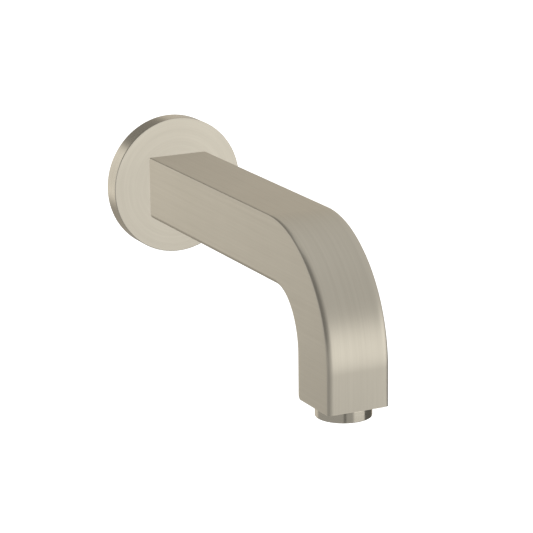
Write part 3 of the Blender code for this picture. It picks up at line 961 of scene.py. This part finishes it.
class SPOUT_OT_aerator(bpy.types.Operator):
    """Make the aerator's insert: shell, sieve, jet plate, mixing ring, screens and outlet honeycomb"""

    bl_idname = "bath_spout.aerator"
    bl_label = "Aerator insert"

    def execute(self, context):
        finish = context.scene.spout_finish
        acetal, steel = moulded_acetal(finish), stainless_steel(finish)

        def add_part(name, bm, material, slot, node):
            return make_piece(name, bm, material, "aerator_insert", slot, node, place=AT_OUTLET)

        lip, inner, outer, flange = 7.5 * MM, 8.3 * MM, 9.3 * MM, 10.5 * MM
        foot, floor, shoulder, top = -3.3 * MM, -2.5 * MM, 7.8 * MM, 8.8 * MM
        shell = [
            (lip, foot), (outer, foot), (outer, shoulder), (flange, shoulder),
            (flange, top), (inner, top), (inner, floor), (lip, floor),
        ]
        shell_piece = add_part(
            "insert_shell", turned(ease(shell, 0.2 * MM)), acetal, "acetal", "aerator_cartridge"
        )
        air_slots = bmesh.new()
        for eighth in range(8):
            spin = Matrix.Rotation(math.tau * (eighth + 0.5) / 8, 4, "Z")
            spot = spin @ Matrix.Translation((outer, 0, 3.5 * MM))
            size = Matrix.Diagonal((3 * MM, 3.2 * MM, 1.0 * MM, 1))
            bmesh.ops.create_cube(air_slots, size=1, matrix=spot @ size)
        cut(shell_piece, air_slots, AT_OUTLET)

        reach = 8.0 * MM
        grid_mesh = turned(ease(ring_outline(0, reach, -2.2 * MM, 0.9 * MM), 0.2 * MM))
        grid = add_part("honeycomb", grid_mesh, acetal, "acetal", "outlet_grid")
        cell_pitch, cell_wide = 1.75 * MM, 1.42 * MM
        cells = cell_places(cell_pitch, 6.9 * MM)
        cut(grid, cells_mesh(cells, cell_wide, 6, -3 * MM, 2 * MM, math.tau / 12), AT_OUTLET)

        for index, node in enumerate(("screen_lower", "screen_middle", "screen_upper")):
            low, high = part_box(node)
            middle = (low.z + high.z) / 2 - OUTLET.z
            cloth = woven_screen(reach, middle, math.radians(30 * index))
            add_part(f"wire_{node}", cloth, steel, "steel", node)

        mixing = ease(ring_outline(5 * MM, reach, 3.4 * MM, 4.4 * MM), 0.3 * MM)
        add_part("mixing_ring", turned(mixing), acetal, "acetal", "diffuser_ring")

        jets_mesh = turned(ease(ring_outline(0, reach, 4.7 * MM, 6.0 * MM), 0.2 * MM))
        jets = add_part("metering_plate", jets_mesh, acetal, "acetal", "jet_plate")
        jet_rings, jet_wide, jet_sides = ((16, 6.4 * MM), (10, 4.4 * MM)), 0.9 * MM, 16
        spots = [
            Matrix.Rotation(math.tau * index / count, 3, "Z") @ Vector((ring, 0, 0))
            for count, ring in jet_rings
            for index in range(count)
        ]
        cut(jets, cells_mesh(spots, jet_wide, jet_sides, 4 * MM, 7 * MM), AT_OUTLET)

        dome = [
            (6.6 * MM, 6.3 * MM), (reach, 6.3 * MM), (reach, 7.1 * MM), (7.2 * MM, 7.1 * MM),
            (6.9 * MM, 9.2 * MM), (6.0 * MM, 10.2 * MM), (3.5 * MM, 10.8 * MM), (0, 11.0 * MM),
            (0, 10.5 * MM), (3.3 * MM, 10.3 * MM), (5.6 * MM, 9.7 * MM), (6.3 * MM, 9.0 * MM),
        ]
        sieve = add_part("sieve", turned(ease(dome, 0.3 * MM)), acetal, "acetal", "filter_dome")
        pore_pitch, pore_wide = 1.0 * MM, 0.55 * MM
        pores = cell_places(pore_pitch, 4.9 * MM)
        cut(sieve, cells_mesh(pores, pore_wide, 6, 9 * MM, 12 * MM), AT_OUTLET)
        return {"FINISHED"}


# The studio

# Light and dark cards round the object: name, azimuth, elevation, half width, half height, how soft the
# sides are, how soft the top and bottom are, level. Angles in degrees, azimuth 0 straight out from the
# wall and 90 to the right. Each card covers the ones above it in this list.
CARDS = (
    ("side_softbox", -168, 0, 17, 19, 7, 6, 0.98),
    ("key_softbox", 40, -1, 27, 17, 6, 9, 1.27),
    ("high_left_flag", -121, 47, 82, 27, 4, 2, 0.25),
    ("left_front_flag", -25, 48, 38, 44, 6, 6, 0.21),
    ("right_flag", 92, -32, 27, 26, 3, 6, 0.14),
    ("left_gap", -22, -10, 5, 22, 3, 6, 0.20),
)
ROOM_HIGH, ROOM_LOW = 0.64, 0.39  # the room's own level above and below
HIGH_END, LOW_END = 0.2, -0.4  # sines of the elevations between which it changes


def card_share(tree, way, azimuth, elevation, half_wide, half_high, soft_sides, soft_ends):
    """How much of a direction a card fills, from 0 to 1."""
    a = math.radians(azimuth)
    ahead, beside = (math.sin(a), -math.cos(a), 0), (math.cos(a), math.sin(a), 0)
    parts = [
        add(tree, "ShaderNodeVectorMath", {0: way, 1: axis}, operation="DOT_PRODUCT").outputs["Value"]
        for axis in (beside, ahead)
    ]
    aside = add(tree, "ShaderNodeMath", {0: parts[0], 1: parts[1]}, operation="ARCTAN2").outputs[0]
    height = add(tree, "ShaderNodeSeparateXYZ", {0: way}).outputs["Z"]
    rise = add(tree, "ShaderNodeMath", {0: height}, operation="ARCSINE").outputs[0]
    above = add(
        tree, "ShaderNodeMath", {0: rise, 1: math.radians(elevation)}, operation="SUBTRACT"
    ).outputs[0]
    fills = []
    for angle, half, soft in ((aside, half_wide, soft_sides), (above, half_high, soft_ends)):
        size = add(tree, "ShaderNodeMath", {0: angle}, operation="ABSOLUTE")
        inside = add(
            tree,
            "ShaderNodeMapRange",
            {
                "Value": size.outputs[0],
                "From Min": math.radians(half - soft),
                "From Max": math.radians(half + soft),
                "To Min": 1.0,
                "To Max": 0.0,
            },
            interpolation_type="SMOOTHSTEP",
        )
        fills.append(inside.outputs[0])
    return add(tree, "ShaderNodeMath", {0: fills[0], 1: fills[1]}, operation="MULTIPLY").outputs[0]


def make_room():
    """A pale room with soft boxes and flags round the object, and a plain white backdrop."""
    world = bpy.data.worlds.new("pale_room")
    bpy.context.scene.world = world
    world.use_nodes = True
    tree = world.node_tree
    tree.nodes.clear()
    way = add(tree, "ShaderNodeTexCoord").outputs["Generated"]
    height = add(tree, "ShaderNodeSeparateXYZ", {0: way}).outputs["Z"]
    level = add(
        tree,
        "ShaderNodeMapRange",
        {"Value": height, "From Min": LOW_END, "From Max": HIGH_END, "To Min": ROOM_LOW, "To Max": ROOM_HIGH},
    ).outputs[0]
    for _, *spread, brightness in CARDS:
        filled = card_share(tree, way, *spread)
        level = add(tree, "ShaderNodeMix", {"Factor": filled, 2: level, 3: brightness}).outputs[0]
    studio = add(tree, "ShaderNodeBackground", {"Color": (1, 1, 1, 1), "Strength": level})
    backdrop = add(tree, "ShaderNodeBackground", {"Color": (1, 1, 1, 1), "Strength": 1.0})
    seen = add(tree, "ShaderNodeLightPath")
    either = add(
        tree,
        "ShaderNodeMixShader",
        {0: seen.outputs["Is Camera Ray"], 1: studio.outputs[0], 2: backdrop.outputs[0]},
    )
    add(tree, "ShaderNodeOutputWorld", {"Surface": either.outputs[0]})


def make_camera(studio):
    """The camera looks at the middle of the spout from its front left, a little above."""
    target = Vector((8.011 * MM, -80 * MM, -21.322 * MM))
    a, e = studio.azimuth, studio.elevation
    back = Vector((math.sin(a) * math.cos(e), -math.cos(a) * math.cos(e), math.sin(e)))
    right = Vector((math.cos(a), math.sin(a), 0))
    facing = Matrix((right, back.cross(right), back)).transposed().to_4x4()
    data = bpy.data.cameras.new("camera")
    data.lens = studio.lens
    data.sensor_width = 36.0
    data.clip_start, data.clip_end = 0.02, 200.0
    camera = bpy.data.objects.new("camera", data)
    camera.matrix_world = (
        Matrix.Translation(target + back * studio.distance) @ facing @ Matrix.Rotation(studio.roll, 4, "Z")
    )
    bpy.context.scene.collection.objects.link(camera)
    bpy.context.scene.camera = camera


class SPOUT_OT_stage(bpy.types.Operator):
    """Make the camera, the pale floor and the soft light"""

    bl_idname = "bath_spout.stage"
    bl_label = "Stage"

    def execute(self, context):
        studio = context.scene.spout_studio
        bm = bmesh.new()
        bmesh.ops.create_circle(bm, cap_ends=True, segments=64, radius=studio.floor_radius)
        mesh = bpy.data.meshes.new("floor")
        bm.to_mesh(mesh)
        bm.free()
        mesh.materials.append(light_table())
        floor = bpy.data.objects.new("floor", mesh)
        floor.location.z = -studio.floor_drop
        floor.visible_glossy = False
        context.scene.collection.objects.link(floor)
        make_room()
        make_camera(studio)
        context.scene.view_settings.view_transform = "Standard"
        return {"FINISHED"}


class SPOUT_PT_sidebar(bpy.types.Panel):
    """Lists the pieces and the finishes"""

    bl_idname = "SPOUT_PT_sidebar"
    bl_label = "Bath spout"
    bl_space_type = "VIEW_3D"
    bl_region_type = "UI"
    bl_category = "Bath spout"

    def draw(self, context):
        for operator in OPERATORS:
            self.layout.operator(operator.bl_idname)
        for group in (context.scene.spout_shape, context.scene.spout_finish, context.scene.spout_studio):
            box = self.layout.box()
            for name in group.__annotations__:
                box.prop(group, name)


OPERATORS = (
    SPOUT_OT_casting,
    SPOUT_OT_cover_plate,
    SPOUT_OT_wall_nipple,
    SPOUT_OT_grub_screw,
    SPOUT_OT_seals,
    SPOUT_OT_outlet_ring,
    SPOUT_OT_aerator,
    SPOUT_OT_stage,
)
GROUPS = {"spout_shape": SpoutShape, "spout_finish": SpoutFinish, "spout_studio": SpoutStudio}


def register():
    for group in GROUPS.values():
        bpy.utils.register_class(group)
    for operator in OPERATORS:
        bpy.utils.register_class(operator)
    bpy.utils.register_class(SPOUT_PT_sidebar)
    for name, group in GROUPS.items():
        setattr(bpy.types.Scene, name, bpy.props.PointerProperty(type=group))


def unregister():
    for name in GROUPS:
        delattr(bpy.types.Scene, name)
    bpy.utils.unregister_class(SPOUT_PT_sidebar)
    for kind in (*reversed(OPERATORS), *reversed(GROUPS.values())):
        bpy.utils.unregister_class(kind)


def main():
    register()
    for operator in OPERATORS:
        family, name = operator.bl_idname.split(".")
        getattr(getattr(bpy.ops, family), name)()


if __name__ == "__main__":
    main()
